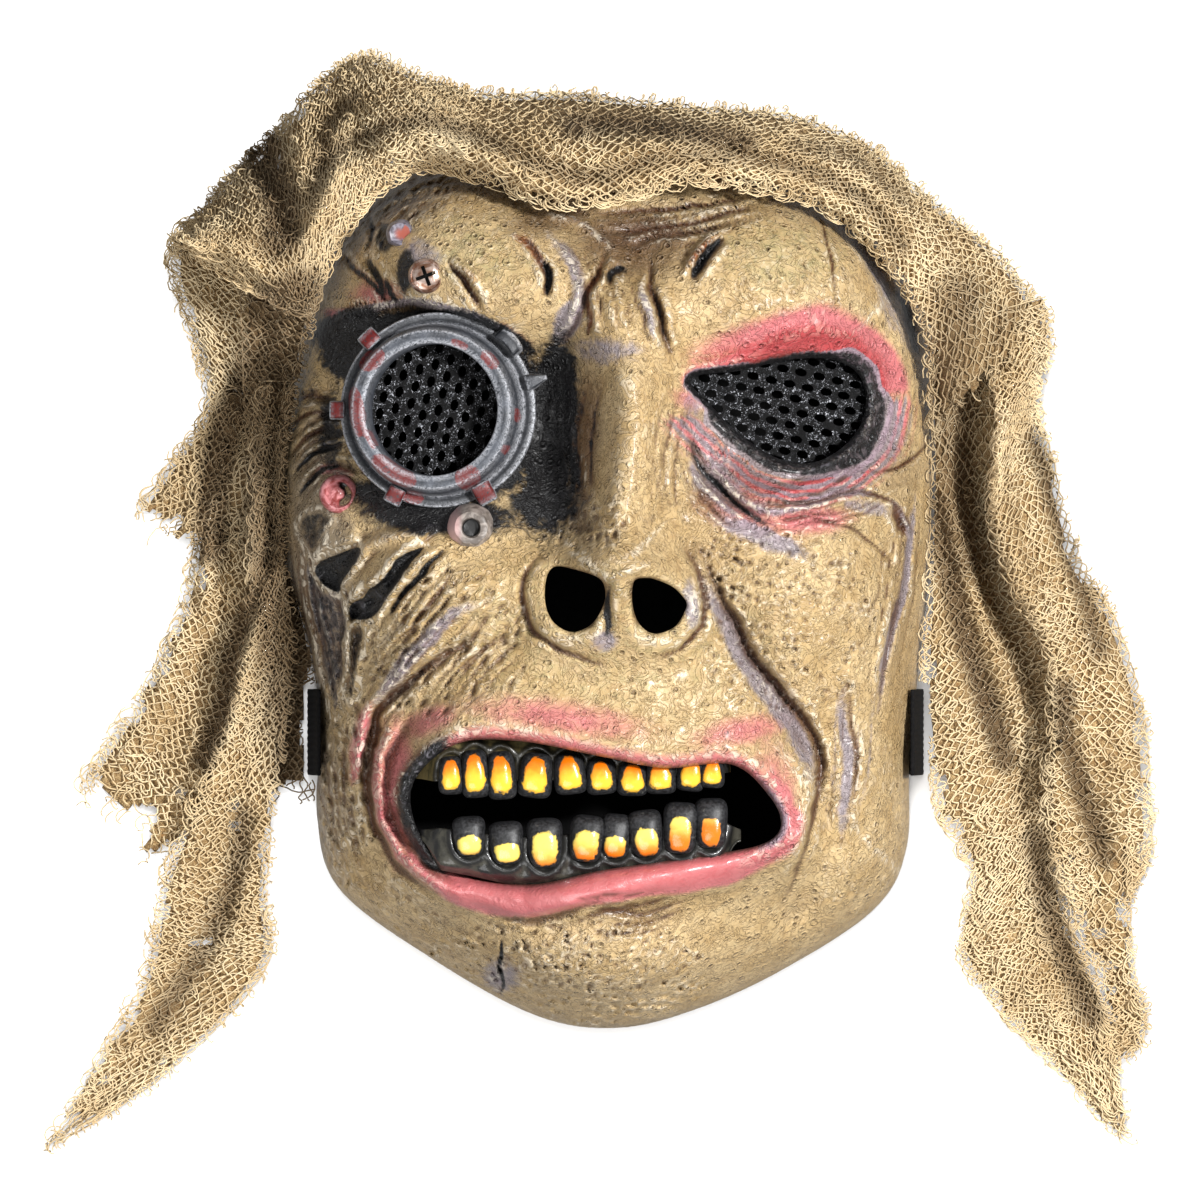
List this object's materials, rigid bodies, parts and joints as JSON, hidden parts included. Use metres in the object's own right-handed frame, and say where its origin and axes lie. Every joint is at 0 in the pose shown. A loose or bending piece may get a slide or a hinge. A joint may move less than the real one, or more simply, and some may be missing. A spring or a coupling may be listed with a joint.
{
  "type": "zombie mask",
  "caption": "Hollow rubber zombie face mask with a metal-look eyepiece, a netted eye, an open toothed mouth, an elastic head strap and a torn gauze hood.",
  "frame": {"origin": "on the surface that the mask lies on, under the middle of the outline of mask and hood", "axes": "+Z out of the face, from the back rim towards the nose; +Y towards the top of the head; +X towards the bare eye, which is on the right when the face is looked at"},
  "size_m": [0.3372, 0.3336, 0.1102],
  "materials": {
    "rubber_skin": "semi-gloss painted latex, tan with grey, brown and red washes",
    "net": "glossy black net",
    "elastic": "matt black woven elastic",
    "gauze": "matt loose-weave tan gauze"
  },
  "bodies": {
    "root": {"face_shell": "rubber_skin", "eyepiece_net": "net", "bare_eye_net": "net", "head_strap": "elastic", "gauze_hood": "gauze"}
  },
  "joints": []
}
